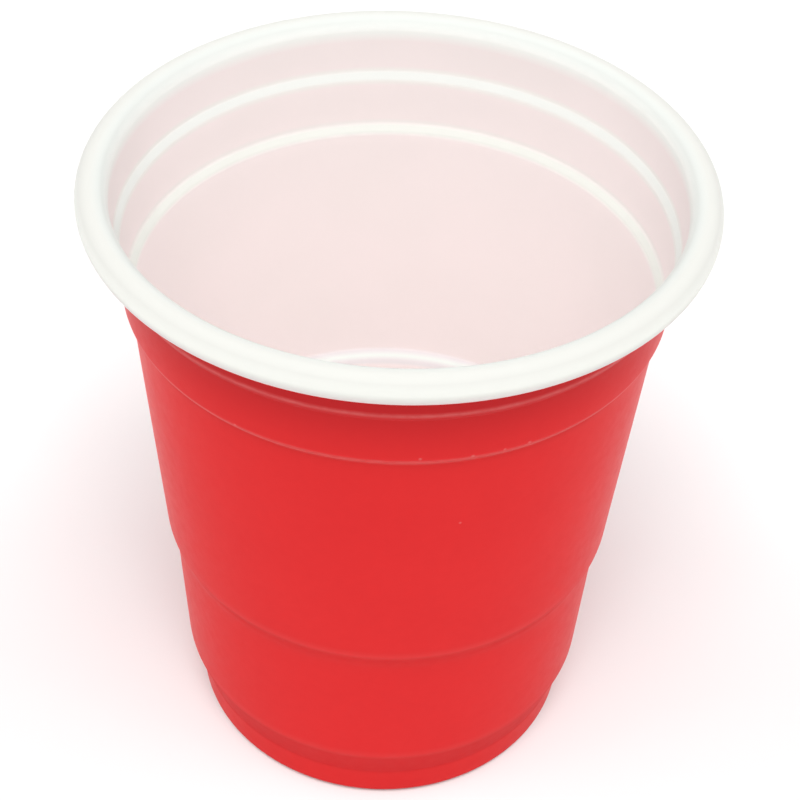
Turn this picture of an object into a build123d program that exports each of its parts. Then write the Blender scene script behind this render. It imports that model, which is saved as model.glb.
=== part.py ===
from build123d import *

import os
from math import acos, degrees, radians, tan

# A disposable shot cup, formed in one piece from plastic sheet, with a rolled rim and stepped ledges.
# Millimetres, +Z up. The origin is the middle of the cup's footprint, on the table it stands on.

# Sizes over the whole cup
rim_diameter = 50.0
cup_height = 56.9
sheet = 0.34

# The rolled rim: the sheet turns outwards over the top and back under, to just short of the wall
roll_radius = 1.24
roll_gap = 0.2

# Where the outside of the wall has its ridges, over the ledges that stiffen the cup and part stacked cups
neck_depth = 5.05
shoulder_depth = 10.15
waist_height = 22.15
foot_height = 6.95

# How far each ledge steps in, and how far it falls while it does
neck_ledge = 0.38
neck_fall = 0.7
shoulder_ledge = 0.55
shoulder_fall = 0.65
waist_ledge = 0.62
waist_fall = 1.35
foot_ledge = 1.08
foot_fall = 3.5

# How far the outside leans in, in degrees from upright
neck_draft = 3.4
wall_draft = 4.0
lower_draft = 2.8
foot_draft = 3.0

# Corners: the bend on the inside face of a ridge, and on the outside face of a hollow
ridge_bend = 0.6
waist_ridge_bend = 0.9
foot_ridge_bend = 1.2
hollow_bend = 0.5
waist_hollow_bend = 4.0
foot_hollow_bend = 1.5
heel_bend = 0.5

# The base: a ring to stand on, round a panel that is pressed up clear of the table
standing_ring_width = 1.9
panel_rise = 1.5
panel_slope_width = 0.9
ring_bend = 0.15
panel_bend = 0.5

# The roll's middle in the section, and the outside face of the wall that rises into it
roll_r = rim_diameter / 2 - roll_radius
roll_z = cup_height - roll_radius
roll_inner_radius = roll_radius - sheet
wall_r = roll_r - roll_inner_radius

# The roll ends where its white face comes within the gap of the wall
end_angle = degrees(acos(1 - (sheet + roll_gap) / roll_radius)) - 180
roll_sweep = 180 - end_angle

# From the rim down: each ridge's height, the lean of the wall above it, and the ledge under it
ledges = (
    (cup_height - neck_depth, neck_draft, neck_ledge, neck_fall),
    (cup_height - shoulder_depth, neck_draft, shoulder_ledge, shoulder_fall),
    (waist_height, wall_draft, waist_ledge, waist_fall),
    (foot_height, lower_draft, foot_ledge, foot_fall),
)

# The outside face, from the roll down the wall and under the base to the middle of the panel
face_r, face_z = wall_r, roll_z
outside = [(face_r, face_z)]
for ridge_z, draft, width, fall in ledges:
    face_r -= (face_z - ridge_z) * tan(radians(draft))
    outside.append((face_r, ridge_z))
    face_r -= width
    face_z = ridge_z - fall
    outside.append((face_r, face_z))
heel_r = face_r - face_z * tan(radians(foot_draft))
ring_inner_r = heel_r - standing_ring_width
panel_r = ring_inner_r - panel_slope_width
outside += [(heel_r, 0), (ring_inner_r, 0), (panel_r, panel_rise), (0, panel_rise)]

corner_radii = [
    sheet + ridge_bend,
    hollow_bend,
    sheet + ridge_bend,
    hollow_bend,
    sheet + waist_ridge_bend,
    waist_hollow_bend,
    sheet + foot_ridge_bend,
    foot_hollow_bend,
    sheet + heel_bend,
    sheet + ring_bend,
    panel_bend,
]

# One sheet all through: its outside face, and its inside face one thickness further in. The roll's cut
# end is square to the sheet.
with BuildPart() as cup:
    with BuildSketch(Plane.XZ):
        with BuildLine():
            FilletPolyline(*outside, radius=corner_radii)
            offset(amount=sheet, side=Side.RIGHT)
        make_face()
        with BuildLine():
            red_face = CenterArc((roll_r, roll_z), roll_inner_radius, end_angle, roll_sweep)
            white_face = CenterArc((roll_r, roll_z), roll_radius, end_angle, roll_sweep)
            Line(red_face @ 0, white_face @ 0)
            Line(red_face @ 1, white_face @ 1)
        make_face()
    revolve(axis=Axis.Z)

cup.part.label = "cup"

os.makedirs("parts", exist_ok=True)
export_step(cup.part, "parts/cup.step")
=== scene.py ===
"""A disposable shot cup of two-coloured plastic sheet, red outside and white inside, on a pale floor.

Metres, +Z up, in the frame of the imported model: the cup stands on the floor, over the origin.
"""

import logging
import math
from dataclasses import dataclass, field
from enum import Enum

import bpy
from mathutils import Matrix, Vector


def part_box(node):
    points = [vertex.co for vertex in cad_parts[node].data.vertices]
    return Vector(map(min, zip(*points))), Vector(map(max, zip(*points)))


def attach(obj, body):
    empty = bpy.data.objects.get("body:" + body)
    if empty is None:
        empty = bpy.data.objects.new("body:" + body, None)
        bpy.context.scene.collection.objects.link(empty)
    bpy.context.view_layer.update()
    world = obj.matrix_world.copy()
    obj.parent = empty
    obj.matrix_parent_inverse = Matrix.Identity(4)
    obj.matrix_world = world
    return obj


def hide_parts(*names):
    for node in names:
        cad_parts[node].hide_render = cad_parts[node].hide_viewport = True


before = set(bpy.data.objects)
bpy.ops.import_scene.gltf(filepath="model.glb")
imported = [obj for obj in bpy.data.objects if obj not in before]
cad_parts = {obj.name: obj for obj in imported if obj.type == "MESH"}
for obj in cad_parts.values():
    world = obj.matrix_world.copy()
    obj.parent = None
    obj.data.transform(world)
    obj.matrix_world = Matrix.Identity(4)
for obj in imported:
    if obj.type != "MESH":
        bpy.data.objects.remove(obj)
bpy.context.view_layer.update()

log = logging.getLogger("shot_cup")

MM = 0.001
UP = (0.0, 0.0, 1.0)
ACROSS = (0.0, 1.0, 0.0)
LEVEL = (1.0, 1.0, 0.0)
WHITE = (1.0, 1.0, 1.0, 1.0)

# The stretch of a noise pattern's values that holds nearly all of it, and the one that holds most of it
NEARLY_ALL = (0.3, 0.7)
MOST = (0.35, 0.65)

Colour = tuple[float, float, float, float]
Socket = bpy.types.NodeSocket
Value = Socket | float
Shade = Socket | Colour


class Face(Enum):
    """The two faces of the sheet, by the place of their finish on the mesh."""

    SKIN = 0
    LINER = 1


def paint(red: int, green: int, blue: int) -> Colour:
    """Gives the linear colour of a paint that is known by its display values.

    Args:
        red: Display value of red, from 0 to 255.
        green: Display value of green.
        blue: Display value of blue.

    Returns:
        The linear colour, with an alpha of 1.
    """

    def linear(value: int) -> float:
        """Undoes the display curve for one channel."""
        share = value / 255
        return share / 12.92 if share <= 0.04045 else ((share + 0.055) / 1.055) ** 2.4

    return linear(red), linear(green), linear(blue), 1.0


@dataclass(frozen=True)
class Band:
    """A band round the cup, from one height to another, that fades out below and above."""

    bottom: float
    top: float
    fade_below: float
    fade_above: float
    strength: float = 1.0


class NodeBench:
    """Adds shader nodes to a material or a world and joins them up."""

    def __init__(self, owner: bpy.types.Material | bpy.types.World) -> None:
        """Starts the owner's node tree afresh.

        Args:
            owner: The material or world whose nodes are made.
        """
        owner.use_nodes = True
        self.tree = owner.node_tree
        self.tree.nodes.clear()

    def add(
        self, kind: str, inputs: dict[str | int, object] | None = None, **settings: object
    ) -> bpy.types.Node:
        """Adds one node.

        Args:
            kind: The node's type.
            inputs: For each socket, by its name or place, a number, a colour or the socket that feeds it.
            **settings: The node's own options.

        Returns:
            The new node.
        """
        node = self.tree.nodes.new(kind)
        for name, value in settings.items():
            setattr(node, name, value)
        for socket, value in (inputs or {}).items():
            if isinstance(value, Socket):
                self.tree.links.new(value, node.inputs[socket])
            else:
                node.inputs[socket].default_value = value
        return node

    def place(self) -> Socket:
        """Gives the coordinates on the object."""
        return self.add("ShaderNodeTexCoord").outputs["Object"]

    def from_axis(self, place: Socket) -> Socket:
        """Gives how far each place is from the upright axis."""
        level = self.add("ShaderNodeVectorMath", {0: place, 1: LEVEL}, operation="MULTIPLY").outputs[0]
        return self.add("ShaderNodeVectorMath", {0: level}, operation="LENGTH").outputs["Value"]

    def noise(self, place: Socket, grain: float, detail: float = 2.0) -> Socket:
        """Adds a cloudy pattern.

        Args:
            place: The coordinates that the pattern follows.
            grain: The size of its patches, in metres.
            detail: How many finer patterns lie in it.

        Returns:
            The socket of the pattern's strength, about 0.5 on average.
        """
        inputs = {"Vector": place, "Scale": 1 / grain, "Detail": detail}
        return self.add("ShaderNodeTexNoise", inputs).outputs[0]

    def spread(
        self, value: Socket, start: float, end: float, low: float = 0.0, high: float = 1.0
    ) -> Socket:
        """Maps a range of values to another, and holds them within it.

        Args:
            value: The socket to map.
            start: What becomes low.
            end: What becomes high.
            low: The value given for start.
            high: The value given for end.

        Returns:
            The socket of the mapped value.
        """
        inputs = {"Value": value, "From Min": start, "From Max": end, "To Min": low, "To Max": high}
        return self.add("ShaderNodeMapRange", inputs).outputs[0]

    def vary(self, pattern: Socket, middle: float, swing: float) -> Socket:
        """Gives a value that follows a noise pattern, by up to a swing to either side of its middle."""
        return self.spread(pattern, *NEARLY_ALL, middle - swing, middle + swing)

    def work_out(self, first: Value, operation: str, second: Value) -> Socket:
        """Joins two values by a Math node."""
        return self.add("ShaderNodeMath", {0: first, 1: second}, operation=operation).outputs[0]

    def blend(self, share: Value, first: Shade, second: Shade) -> Socket:
        """Mixes two colours, and gives the first where the share is 0."""
        inputs = {0: share, 6: first, 7: second}
        return self.add("ShaderNodeMix", inputs, data_type="RGBA").outputs[2]

    def bands(self, place: Socket, bands: list[Band]) -> Value:
        """Marks bands that run round the cup.

        Args:
            place: The coordinates on the cup.
            bands: The bands.

        Returns:
            The strength of the strongest band at each height, or plain 0 where there are no bands.
        """
        height = self.add("ShaderNodeSeparateXYZ", {0: place}).outputs["Z"]
        found: Value = 0.0
        for band in bands:
            rise = self.spread(height, band.bottom - band.fade_below, band.bottom, 0.0, band.strength)
            fall = self.spread(height, band.top + band.fade_above, band.top)
            found = self.work_out(found, "MAXIMUM", self.work_out(rise, "MULTIPLY", fall))
        return found

    def bump(self, pattern: Value, height: float, under: Socket | None = None) -> Socket:
        """Raises a pattern from the surface.

        Args:
            pattern: The pattern, from 0 to 1.
            height: How far it stands up where it is 1, in metres.
            under: The normal of the relief that it lies on, if there is one.

        Returns:
            The socket of the normal.
        """
        inputs = {"Height": pattern, "Distance": height}
        if under is not None:
            inputs["Normal"] = under
        return self.add("ShaderNodeBump", inputs).outputs[0]

    def plastic(self, colour: Socket, rough: Socket, gloss: float, normal: Socket) -> None:
        """Ends a material's nodes in a plastic surface.

        Args:
            colour: The colour.
            rough: The roughness.
            gloss: How strongly it mirrors, the same all over.
            normal: The normal.
        """
        inputs = {"Base Color": colour, "Roughness": rough, "Specular IOR Level": gloss, "Normal": normal}
        surface = self.add("ShaderNodeBsdfPrincipled", inputs)
        self.add("ShaderNodeOutputMaterial", {"Surface": surface.outputs[0]})


@dataclass(frozen=True)
class Nick:
    """A small pale fleck on the outside, where the sheet was touched, by its angle round the cup."""

    around: float
    height: float
    radius: float


@dataclass(frozen=True)
class SatinSkin:
    """The outside of the sheet: satin red plastic, paler along its ridges, with painted shade under the
    rim and down the foot's ledge, and a few flecks.
    """

    name: str = "red_satin_skin"
    red: Colour = paint(234, 50, 51)
    deep_red: Colour = paint(228, 47, 49)
    # Painted shade for under the rim and down the foot's ledge
    painted_shade_red: Colour = paint(215, 45, 48)
    # Pale red of the stretched sheet and the flecks, and of the painted highlight along the ridges
    stretch_and_highlight_red: Colour = paint(240, 131, 128)
    cloud_size: float = 9.0 * MM
    cloud_share: float = 0.3
    mottle_size: float = 0.9 * MM
    mottle_detail: float = 3.0
    mottle_share: float = 0.3
    least_stretch: float = 0.6
    grain_size: float = 0.16 * MM
    grain_height: float = 0.006 * MM
    ripple_size: float = 1.6 * MM
    ripple_height: float = 0.01 * MM
    roughness: float = 0.34
    roughness_swing: float = 0.03
    matt_roughness: float = 0.85
    gloss: float = 0.035
    nick_paleness: float = 0.5
    nick_height: float = 0.024 * MM
    nick_core: float = 0.3

    def build(
        self, ridges: list[Band], matt: list[Band], painted_shade: list[Band], nicks: list[tuple[Vector, float]]
    ) -> bpy.types.Material:
        """Makes the material.

        Args:
            ridges: The bands along the ridges, where the sheet went pale from stretching and a highlight
                is painted.
            matt: The bands down the ledges where the sheet has less sheen.
            painted_shade: The bands of painted shade, under the rim and down the foot's ledge.
            nicks: The place and radius of each fleck.

        Returns:
            The finished material.
        """
        material = bpy.data.materials.new(self.name)
        bench = NodeBench(material)
        place = bench.place()
        clouds = bench.spread(bench.noise(place, self.cloud_size), *MOST, 0.0, self.cloud_share)
        mottle = bench.noise(place, self.mottle_size, self.mottle_detail)
        patches = bench.work_out(
            clouds, "ADD", bench.spread(mottle, *NEARLY_ALL, 0.0, self.mottle_share)
        )
        colour = bench.blend(patches, self.red, self.deep_red)
        # Painted shade under the rim and down the foot's ledge
        colour = bench.blend(bench.bands(place, painted_shade), colour, self.painted_shade_red)
        # Paler along the ridges: partly stretched sheet, partly a painted highlight
        uneven = bench.spread(mottle, *MOST, self.least_stretch, 1.0)
        stretch_and_highlight = bench.work_out(bench.bands(place, ridges), "MULTIPLY", uneven)
        colour = bench.blend(stretch_and_highlight, colour, self.stretch_and_highlight_red)
        flecks = self.flecks(bench, place, nicks)
        pale_flecks = bench.work_out(flecks, "MULTIPLY", self.nick_paleness)
        colour = bench.blend(pale_flecks, colour, self.stretch_and_highlight_red)
        satin = bench.vary(mottle, self.roughness, self.roughness_swing)
        dulled = bench.work_out(
            bench.bands(place, matt), "MULTIPLY", self.matt_roughness - self.roughness
        )
        rough = bench.work_out(satin, "ADD", dulled)
        ripple = bench.bump(bench.noise(place, self.ripple_size), self.ripple_height)
        grain = bench.bump(bench.noise(place, self.grain_size), self.grain_height, ripple)
        raised = bench.bump(flecks, self.nick_height, grain)
        bench.plastic(colour, rough, self.gloss, raised)
        return material

    def flecks(self, bench: NodeBench, place: Socket, nicks: list[tuple[Vector, float]]) -> Value:
        """Marks the flecks by their distance from where each one lies.

        Args:
            bench: Where the nodes are made.
            place: The coordinates on the cup.
            nicks: The place and radius of each fleck.

        Returns:
            What is 1 in a fleck and 0 elsewhere, or plain 0 where there are no flecks.
        """
        found: Value = 0.0
        for middle, radius in nicks:
            away = bench.add("ShaderNodeVectorMath", {0: place, 1: middle}, operation="DISTANCE")
            fleck = bench.spread(away.outputs["Value"], radius, self.nick_core * radius)
            found = bench.work_out(found, "MAXIMUM", fleck)
        return found


@dataclass(frozen=True)
class WhiteLiner:
    """The inside of the sheet: white plastic, tinged with the red behind it where it was drawn thin."""

    name: str = "white_liner"
    tinged_white: Colour = paint(250, 240, 239)
    clouded_white: Colour = paint(228, 227, 221)
    # Painted light on the roll's inner side
    inner_roll_painted_light: Colour = paint(249, 252, 248)
    outer_roll_white: Colour = paint(240, 241, 235)
    # Painted shade along the roll's crest, where the light falls strongest
    inner_crest_painted_shade: Colour = paint(215, 218, 214)
    outer_crest_painted_shade: Colour = paint(212, 212, 207)
    cloud_size: float = 14.0 * MM
    cloud_share: float = 0.16
    grain_size: float = 0.2 * MM
    grain_height: float = 0.004 * MM
    roughness: float = 0.36
    roughness_swing: float = 0.05
    gloss: float = 0.05

    def build(
        self,
        stripes: list[tuple[Band, Colour]],
        roll: Band,
        shaded_crest: Band,
        roll_radii: tuple[float, float],
    ) -> bpy.types.Material:
        """Makes the material.

        Args:
            stripes: The bands along the ledges, each with its white: partly the plainer white of thicker
                sheet, partly painted light and shade for how the ledge catches the light.
            roll: The band over the roll, where the red doesn't tinge the sheet.
            shaded_crest: The band along the top of the roll, which is painted in shade where the light
                falls strongest.
            roll_radii: How far from the cup's axis the roll's inner whites, with their painted light and
                shade, end and its outer ones start.

        Returns:
            The finished material.
        """
        material = bpy.data.materials.new(self.name)
        bench = NodeBench(material)
        place = bench.place()
        clouds = bench.spread(bench.noise(place, self.cloud_size), *NEARLY_ALL, 0.0, self.cloud_share)
        colour = bench.blend(clouds, self.tinged_white, self.clouded_white)
        # Painted light on the roll's inner side, fading out towards its outer side
        outward = bench.spread(bench.from_axis(place), *roll_radii)
        roll_white_and_painted_light = bench.blend(outward, self.inner_roll_painted_light, self.outer_roll_white)
        # Painted shade along the roll's crest
        crest_painted_shade = bench.blend(outward, self.inner_crest_painted_shade, self.outer_crest_painted_shade)
        # Blends in the stripes, with their painted light and shade, the roll's white, with painted light
        # on its inner side, and the crest's painted shade
        for band, white in [*stripes, (roll, roll_white_and_painted_light), (shaded_crest, crest_painted_shade)]:
            colour = bench.blend(bench.bands(place, [band]), colour, white)
        grain = bench.noise(place, self.grain_size)
        rough = bench.vary(grain, self.roughness, self.roughness_swing)
        bench.plastic(colour, rough, self.gloss, bench.bump(grain, self.grain_height))
        return material


@dataclass(frozen=True)
class Stripe:
    """A stripe of its own white round the inside of a ledge, by how far its middle is below the ridge:
    plainer white of thicker sheet, with painted light and shade in it.
    """

    drop: float
    half_width: float
    fade: float
    white: Colour

    def band(self, ridge_height: float) -> Band:
        """Places the stripe under a ridge."""
        middle = ridge_height - self.drop
        return Band(middle - self.half_width, middle + self.half_width, self.fade, self.fade)


@dataclass(frozen=True)
class Ledge:
    """A step in the wall: the outside leans in down to a ridge, steps in, and ends in a hollow.

    The ridge's bend is that of the inside face, and the hollow's that of the outside face. The skin is
    pale along the ridge, from stretching and a painted highlight, and dull down the ledge, and the
    liner has stripes of painted light and shade there.
    """

    ridge_height: float
    draft: float
    width: float
    fall: float
    ridge_bend: float
    hollow_bend: float
    paleness: float
    pale_above: float
    stripes: tuple[Stripe, ...]
    pale_fall: float = 0.0
    dullness: float = 0.0

    @property
    def bottom(self) -> float:
        """The height where the ledge ends."""
        return self.ridge_height - self.fall


class SectionPen:
    """Draws one face of the sheet in section, with r to the right and z up, as a chain of edges."""

    fewest_steps = 2

    def __init__(self, start: Vector, longest_step: float, widest_turn: float) -> None:
        """Puts the pen down.

        Args:
            start: Where the section starts, as r and z.
            longest_step: The longest edge on a straight run.
            widest_turn: The widest turn between two edges of a bend, in radians.
        """
        self.place = start
        self.longest_step = longest_step
        self.widest_turn = widest_turn
        bpy.ops.mesh.primitive_plane_add(size=longest_step, location=self.upright(start))
        bpy.ops.object.mode_set(mode="EDIT")
        bpy.ops.mesh.select_all(action="SELECT")
        bpy.ops.mesh.merge(type="CENTER")

    @staticmethod
    def upright(point: Vector) -> Vector:
        """Stands a point of the section, or a step in it, up in space."""
        return Vector((point.x, 0.0, point.y))

    def run_to(self, point: Vector) -> None:
        """Draws a straight run, in equal steps.

        Args:
            point: Where the run ends.
        """
        whole = point - self.place
        count = max(1, math.ceil(whole.length / self.longest_step))
        for _ in range(count):
            bpy.ops.mesh.extrude_vertices_move(
                TRANSFORM_OT_translate={"value": self.upright(whole / count)}
            )
        self.place = point

    def bend(self, centre: Vector, turn: float) -> None:
        """Draws an arc.

        Args:
            centre: The middle of the arc.
            turn: How far it turns, in radians, from r towards z.
        """
        steps = max(self.fewest_steps, math.ceil(abs(turn) / self.widest_turn))
        bpy.ops.mesh.spin(steps=steps, angle=turn, center=self.upright(centre), axis=ACROSS)
        self.place = centre + Matrix.Rotation(turn, 2) @ (self.place - centre)

    def turn_corner(self, corner: Vector, after: Vector, radius: float) -> None:
        """Draws the run up to a corner and the bend round it.

        Args:
            corner: The sharp corner that the bend replaces.
            after: The next corner.
            radius: The radius of the bend.
        """
        into = (corner - self.place).normalized()
        out = (after - corner).normalized()
        turn = math.atan2(into.cross(out), into.dot(out))
        self.run_to(corner - into * radius * math.tan(abs(turn) / 2))
        left = Vector((-into.y, into.x))
        self.bend(self.place + left * math.copysign(radius, turn), turn)


@dataclass
class ShotCup:
    """The cup, formed in one piece from sheet, with a rolled rim, four ledges and a raised base panel."""

    rim_diameter: float
    height: float
    nicks: tuple[Nick, ...] = ()
    skin: SatinSkin = SatinSkin()
    liner: WhiteLiner = WhiteLiner()

    # The sheet, and the roll at its rim
    sheet: float = 0.34 * MM
    roll_radius: float = 1.24 * MM
    roll_gap: float = 0.2 * MM
    edge_break: float = 0.05 * MM
    edge_segments: int = 2

    # Where the ledges lie, and how far the outside leans in
    neck_depth: float = 5.05 * MM
    shoulder_depth: float = 10.15 * MM
    waist_height: float = 22.15 * MM
    foot_height: float = 6.95 * MM
    upper_draft: float = math.radians(3.4)
    wall_draft: float = math.radians(4.0)
    lower_draft: float = math.radians(2.8)
    foot_draft: float = math.radians(3.0)

    # The base: bends on the inside face of the heel and the ring, and on the outside face of the panel
    heel_bend: float = 0.5 * MM
    ring_bend: float = 0.15 * MM
    panel_bend: float = 0.5 * MM
    standing_ring_width: float = 1.9 * MM
    panel_rise: float = 1.5 * MM
    panel_slope_width: float = 0.9 * MM

    # Where the finishes change, and how strong the painted shade down the foot's ledge is
    pale_below: float = 0.45 * MM
    band_fade: float = 0.4 * MM
    foot_painted_shade: float = 0.4
    roll_fade: float = 0.85 * MM
    crest_depth: float = 0.35 * MM
    crest_fade: float = 0.7 * MM

    # How finely the mesh is drawn
    longest_step: float = 1.2 * MM
    widest_turn: float = math.radians(6.5)
    steps_around: int = 192
    merge_distance: float = 0.001 * MM
    sharp_angle: float = math.radians(60)

    neck: Ledge = field(init=False)
    shoulder: Ledge = field(init=False)
    waist: Ledge = field(init=False)
    foot: Ledge = field(init=False)

    def __post_init__(self) -> None:
        """Places the ledges from the cup's sizes."""
        # The liner's stripe whites under each ridge are painted light and shade that even out how the
        # ledges catch the light, over the plainer white of the thicker sheet there
        self.neck = Ledge(
            ridge_height=self.height - self.neck_depth,
            draft=self.upper_draft,
            width=0.38 * MM,
            fall=0.7 * MM,
            ridge_bend=0.6 * MM,
            hollow_bend=0.5 * MM,
            paleness=0.5,
            pale_above=0.35 * MM,
            stripes=(
                Stripe(drop=0.27 * MM, half_width=0.5 * MM, fade=0.35 * MM, white=paint(245, 243, 239)),
                Stripe(drop=0.27 * MM, half_width=0.22 * MM, fade=0.25 * MM, white=paint(229, 232, 228)),
            ),
        )
        self.shoulder = Ledge(
            ridge_height=self.height - self.shoulder_depth,
            draft=self.upper_draft,
            width=0.55 * MM,
            fall=0.65 * MM,
            ridge_bend=0.6 * MM,
            hollow_bend=0.5 * MM,
            paleness=0.38,
            pale_above=0.3 * MM,
            pale_fall=0.4 * MM,
            stripes=(
                Stripe(drop=0.1 * MM, half_width=0.45 * MM, fade=0.35 * MM, white=paint(243, 239, 236)),
                Stripe(drop=0.22 * MM, half_width=0.2 * MM, fade=0.25 * MM, white=paint(221, 223, 217)),
            ),
        )
        self.waist = Ledge(
            ridge_height=self.waist_height,
            draft=self.wall_draft,
            width=0.62 * MM,
            fall=1.35 * MM,
            ridge_bend=0.9 * MM,
            hollow_bend=4.0 * MM,
            paleness=0.13,
            pale_above=0.8 * MM,
            dullness=0.35,
            stripes=(
                Stripe(drop=0.71 * MM, half_width=0.6 * MM, fade=0.35 * MM, white=paint(233, 230, 231)),
                Stripe(drop=0.6 * MM, half_width=0.05 * MM, fade=0.4 * MM, white=paint(237, 244, 240)),
            ),
        )
        self.foot = Ledge(
            ridge_height=self.foot_height,
            draft=self.lower_draft,
            width=1.08 * MM,
            fall=3.5 * MM,
            ridge_bend=1.2 * MM,
            hollow_bend=1.5 * MM,
            paleness=0.12,
            pale_above=0.9 * MM,
            dullness=0.4,
            stripes=(
                Stripe(drop=1.05 * MM, half_width=0.3 * MM, fade=0.4 * MM, white=paint(235, 240, 236)),
            ),
        )

    @property
    def ledges(self) -> list[Ledge]:
        """The ledges, from the rim down."""
        return [self.neck, self.shoulder, self.waist, self.foot]

    @property
    def roll_middle(self) -> Vector:
        """The middle of the roll in the section."""
        return Vector((self.rim_diameter / 2 - self.roll_radius, self.height - self.roll_radius))

    @property
    def inner_roll_radius(self) -> float:
        """The radius of the roll's red face."""
        return self.roll_radius - self.sheet

    def corners(self) -> list[tuple[Vector, float]]:
        """Lists the sharp corners of the outside face.

        Returns:
            The corners from the roll down, each with the radius of its bend.
        """
        r = self.roll_middle.x - self.inner_roll_radius
        z = self.roll_middle.y
        found = []
        for ledge in self.ledges:
            r -= (z - ledge.ridge_height) * math.tan(ledge.draft)
            found.append((Vector((r, ledge.ridge_height)), self.sheet + ledge.ridge_bend))
            r -= ledge.width
            z = ledge.bottom
            found.append((Vector((r, z)), ledge.hollow_bend))
        heel_r = r - z * math.tan(self.foot_draft)
        ring_inner_r = heel_r - self.standing_ring_width
        panel_r = ring_inner_r - self.panel_slope_width
        found.append((Vector((heel_r, 0.0)), self.sheet + self.heel_bend))
        found.append((Vector((ring_inner_r, 0.0)), self.sheet + self.ring_bend))
        found.append((Vector((panel_r, self.panel_rise)), self.panel_bend))
        found.append((Vector((0.0, self.panel_rise)), 0.0))
        return found

    def draw_section(self) -> None:
        """Draws the red face in section: from its cut edge, round the roll, down the wall and inwards."""
        opening = math.acos(1 - (self.sheet + self.roll_gap) / self.roll_radius)
        cut_edge = Matrix.Rotation(opening - math.pi, 2) @ Vector((self.inner_roll_radius, 0.0))
        pen = SectionPen(self.roll_middle + cut_edge, self.longest_step, self.widest_turn)
        pen.bend(self.roll_middle, 2 * math.pi - opening)
        corners = self.corners()
        for (corner, radius), (after, _) in zip(corners, corners[1:]):
            pen.turn_corner(corner, after, radius)
        pen.run_to(corners[-1][0])

    def turn_section(self) -> bpy.types.Object:
        """Spins the section round the cup's middle and closes the seam and the pole.

        Returns:
            The red face, as an open shell that faces outwards.
        """
        bpy.ops.mesh.select_all(action="SELECT")
        bpy.ops.mesh.spin(steps=self.steps_around, angle=2 * math.pi, center=(0, 0, 0), axis=UP)
        bpy.ops.mesh.select_all(action="SELECT")
        bpy.ops.mesh.remove_doubles(threshold=self.merge_distance)
        bpy.ops.mesh.normals_make_consistent(inside=False)
        bpy.ops.object.mode_set(mode="OBJECT")
        shell = bpy.context.object
        bpy.ops.object.transform_apply(location=True, rotation=True, scale=True)
        wall = max(shell.data.polygons, key=lambda face: face.area)
        if wall.normal.dot(wall.center - Vector((0, 0, wall.center.z))) < 0:
            bpy.ops.object.mode_set(mode="EDIT")
            bpy.ops.mesh.flip_normals()
            bpy.ops.object.mode_set(mode="OBJECT")
        return shell

    def thicken(self, shell: bpy.types.Object) -> None:
        """Gives the shell the sheet's thickness, with the white face inwards, and breaks its cut edge.

        Args:
            shell: The red face.
        """
        solidify = shell.modifiers.new("sheet", "SOLIDIFY")
        solidify.thickness = self.sheet
        solidify.offset = -1
        solidify.use_even_offset = True
        solidify.material_offset = Face.LINER.value
        solidify.material_offset_rim = Face.LINER.value
        bpy.ops.object.modifier_apply(modifier=solidify.name)
        bevel = shell.modifiers.new("broken_edge", "BEVEL")
        bevel.limit_method = "ANGLE"
        bevel.angle_limit = self.sharp_angle
        bevel.width = self.edge_break
        bevel.segments = self.edge_segments
        bpy.ops.object.modifier_apply(modifier=bevel.name)
        bpy.ops.object.shade_smooth_by_angle(angle=self.sharp_angle)

    def pale_ridges(self) -> list[Band]:
        """Lists the bands along the ridges where the skin is pale from stretching and carries a painted
        highlight.

        Returns:
            One band for each ledge.
        """
        return [
            Band(
                ledge.ridge_height - ledge.pale_fall,
                ledge.ridge_height,
                self.pale_below,
                ledge.pale_above,
                ledge.paleness,
            )
            for ledge in self.ledges
        ]

    def dull_ledges(self) -> list[Band]:
        """Lists the bands down the ledges where the skin has less sheen.

        Returns:
            One band for each ledge that is dull.
        """
        return [
            Band(ledge.bottom, ledge.ridge_height, self.band_fade, self.band_fade, ledge.dullness)
            for ledge in self.ledges
            if ledge.dullness
        ]

    def painted_shade_bands(self) -> list[Band]:
        """Lists the bands of painted shade on the skin.

        Returns:
            A band under the rim, which fades out towards the shoulder, and one down the foot's ledge.
        """
        neck, shoulder = self.neck.ridge_height, self.shoulder.ridge_height
        foot, fade = self.foot, self.band_fade
        return [
            Band(neck, self.height, neck - shoulder, fade),
            Band(foot.bottom, foot.ridge_height, fade, fade, self.foot_painted_shade),
        ]

    def outside_place(self, nick: Nick) -> Vector:
        """Finds where a fleck lies on the outside of the cup.

        Args:
            nick: The fleck.

        Returns:
            The place of its middle.
        """
        corners = [corner for corner, _ in self.corners()]
        for above, below in zip(corners, corners[1:]):
            if below.y <= nick.height <= above.y:
                r = above.lerp(below, (above.y - nick.height) / (above.y - below.y)).x
                return Vector((r * math.cos(nick.around), r * math.sin(nick.around), nick.height))
        raise ValueError("a fleck lies off the wall")

    def red_skin(self) -> bpy.types.Material:
        """Finishes the red face, with its bands and flecks where the cup has them."""
        flecks = [(self.outside_place(nick), nick.radius) for nick in self.nicks]
        return self.skin.build(self.pale_ridges(), self.dull_ledges(), self.painted_shade_bands(), flecks)

    def white_liner(self) -> bpy.types.Material:
        """Finishes the white face, with the bands that follow the ledges, the roll and its crest.

        Returns:
            The finished material.
        """
        stripes = [
            (stripe.band(ledge.ridge_height), stripe.white)
            for ledge in self.ledges
            for stripe in ledge.stripes
        ]
        roll = Band(self.roll_middle.y, self.height, self.roll_fade, self.roll_fade)
        # Painted shade along the roll's crest
        shaded_crest = Band(self.height - self.crest_depth, self.height, self.crest_fade, self.roll_fade)
        roll_radii = (self.roll_middle.x - self.roll_radius / 2, self.roll_middle.x)
        return self.liner.build(stripes, roll, shaded_crest, roll_radii)

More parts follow.
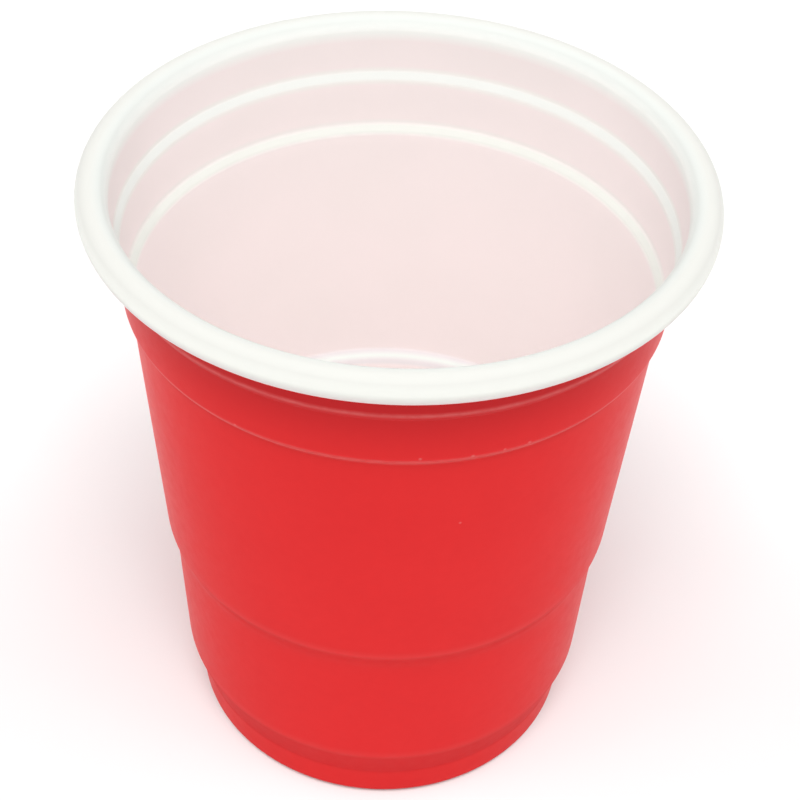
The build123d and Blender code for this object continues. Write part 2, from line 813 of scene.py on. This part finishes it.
    def build(self) -> bpy.types.Object:
        """Models and finishes the cup.

        Returns:
            The cup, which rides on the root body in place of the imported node.
        """
        bpy.ops.object.select_all(action="DESELECT")
        self.draw_section()
        cup = self.turn_section()
        cup.name = cup.data.name = "shot_cup"
        finishes = {Face.SKIN: self.red_skin(), Face.LINER: self.white_liner()}
        for face in Face:
            cup.data.materials.append(finishes[face])
        self.thicken(cup)
        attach(cup, "root")
        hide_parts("cup")
        return cup


@dataclass(frozen=True)
class Studio:
    """A pale floor under plain soft light, with white all round for the camera.

    The floor's lift is added to what the camera sees of it, and rises to white far from the cup.
    """

    floor_radius: float = 2.5
    floor_corners: int = 96
    floor_colour: Colour = paint(230, 230, 230)
    floor_roughness: float = 0.9
    floor_lift: float = 0.05
    lift_start: float = 0.25
    lift_end: float = 0.7
    sky_strength: float = 0.39

    @staticmethod
    def plain_rays(bench: NodeBench) -> Socket:
        """Tells what the camera sees from what lights the cup.

        Args:
            bench: Where the nodes are made.

        Returns:
            The socket that is 1 for what is seen, straight, mirrored or through glass, and 0 for light.
        """
        path = bench.add("ShaderNodeLightPath").outputs
        seen = bench.work_out(path["Is Camera Ray"], "MAXIMUM", path["Is Glossy Ray"])
        return bench.work_out(seen, "MAXIMUM", path["Is Transmission Ray"])

    def build_floor(self) -> bpy.types.Object:
        """Lays the floor.

        Returns:
            The floor, which isn't part of the object.
        """
        bpy.ops.object.select_all(action="DESELECT")
        bpy.ops.mesh.primitive_circle_add(
            vertices=self.floor_corners, radius=self.floor_radius, fill_type="NGON"
        )
        floor = bpy.context.object
        floor.name = "studio_floor"
        material = bpy.data.materials.new("pale_floor")
        bench = NodeBench(material)
        coat = {"Color": self.floor_colour, "Roughness": self.floor_roughness}
        paint_coat = bench.add("ShaderNodeBsdfDiffuse", coat)
        away = bench.from_axis(bench.place())
        lift = bench.spread(away, self.lift_start, self.lift_end, self.floor_lift, 1.0)
        lift = bench.work_out(self.plain_rays(bench), "MULTIPLY", lift)
        glow = bench.add("ShaderNodeEmission", {"Color": WHITE, "Strength": lift})
        both = bench.add("ShaderNodeAddShader", {0: paint_coat.outputs[0], 1: glow.outputs[0]})
        bench.add("ShaderNodeOutputMaterial", {"Surface": both.outputs[0]})
        floor.data.materials.append(material)
        return floor

    def build_world(self) -> None:
        """Surrounds the scene with white."""
        world = bpy.data.worlds.new("white_room")
        bpy.context.scene.world = world
        bench = NodeBench(world)
        strength = bench.spread(self.plain_rays(bench), 0.0, 1.0, self.sky_strength, 1.0)
        sky = bench.add("ShaderNodeBackground", {"Color": WHITE, "Strength": strength})
        bench.add("ShaderNodeOutputWorld", {"Surface": sky.outputs[0]})


@dataclass(frozen=True)
class Softbox:
    """A broad square lamp that points at the cup."""

    name: str
    power: float
    place: tuple[float, float, float]
    width: float = 0.6

    def build(self, target: Vector) -> bpy.types.Object:
        """Hangs the lamp.

        Args:
            target: What the lamp points at.

        Returns:
            The lamp.
        """
        light = bpy.data.lights.new(self.name, "AREA")
        light.size = self.width
        light.energy = self.power
        lamp = bpy.data.objects.new(self.name, light)
        lamp.location = self.place
        lamp.rotation_euler = (target - lamp.location).to_track_quat("-Z", "Y").to_euler()
        bpy.context.scene.collection.objects.link(lamp)
        return lamp


@dataclass(frozen=True)
class Viewpoint:
    """Where the photograph was taken from: how far from the middle of the rim, and how high above it.

    The focal length and the sensor's width are in millimetres, as a camera takes them.
    """

    distance: float = 137.78 * MM
    elevation: float = math.radians(35.143)
    tilt_down: float = math.radians(7.017)
    swing: float = math.radians(-0.287)
    lean: float = math.radians(-2.419)
    focal_length: float = 79.335
    sensor_width: float = 36.0
    nearest: float = 1.0 * MM

    def build(self, rim_middle: Vector) -> bpy.types.Object:
        """Sets up the camera.

        Args:
            rim_middle: The point that distance and elevation are measured from.

        Returns:
            The scene's camera.
        """
        ahead = Vector((0, math.cos(self.elevation), -math.sin(self.elevation)))
        place = rim_middle - ahead * self.distance
        right = Vector((1, 0, 0))
        up = right.cross(ahead)
        tilt = Matrix.Rotation(-self.tilt_down, 3, right)
        ahead, up = tilt @ ahead, tilt @ up
        swing = Matrix.Rotation(self.swing, 3, up)
        ahead, right = swing @ ahead, swing @ right
        lean = Matrix.Rotation(self.lean, 3, ahead)
        right, up = lean @ right, lean @ up
        lens = bpy.data.cameras.new("camera")
        lens.sensor_width = self.sensor_width
        lens.lens = self.focal_length
        lens.clip_start = self.nearest
        camera = bpy.data.objects.new("camera", lens)
        turned = Matrix((right, up, -ahead)).transposed().to_4x4()
        camera.matrix_world = Matrix.Translation(place) @ turned
        bpy.context.scene.collection.objects.link(camera)
        bpy.context.scene.camera = camera
        return camera


def main() -> None:
    """Builds the camera, the studio and the cup."""
    logging.basicConfig(level=logging.INFO, format="%(message)s")
    low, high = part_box("cup")
    nicks = (
        Nick(around=math.radians(-120.9), height=46.9 * MM, radius=0.17 * MM),
        Nick(around=math.radians(-84.1), height=47.15 * MM, radius=0.17 * MM),
        Nick(around=math.radians(-74.0), height=46.95 * MM, radius=0.2 * MM),
        Nick(around=math.radians(-67.6), height=47.0 * MM, radius=0.16 * MM),
        Nick(around=math.radians(-62.4), height=47.0 * MM, radius=0.2 * MM),
        Nick(around=math.radians(-74.5), height=39.0 * MM, radius=0.15 * MM),
    )
    cup = ShotCup(rim_diameter=high.x - low.x, height=high.z - low.z, nicks=nicks)
    Viewpoint().build(Vector((0, 0, cup.roll_middle.y)))
    studio = Studio()
    studio.build_floor()
    studio.build_world()
    lamps = (
        Softbox("high_softbox", power=8.6, place=(0.0, -0.45, 1.0)),
        Softbox("left_softbox", power=2.2, place=(-0.6, -0.1, 0.95)),
        Softbox("right_softbox", power=2.2, place=(0.6, -0.1, 0.95)),
        Softbox("left_rear_softbox", power=1.1, place=(-0.8, 0.3, 0.6)),
        Softbox("right_rear_softbox", power=1.1, place=(0.8, 0.3, 0.6)),
    )
    for lamp in lamps:
        lamp.build(Vector((0, 0, cup.height / 2)))
    piece = cup.build()
    log.info("%s: %d faces", piece.name, len(piece.data.polygons))
    bpy.context.scene.view_settings.view_transform = "Standard"


if __name__ == "__main__":
    main()
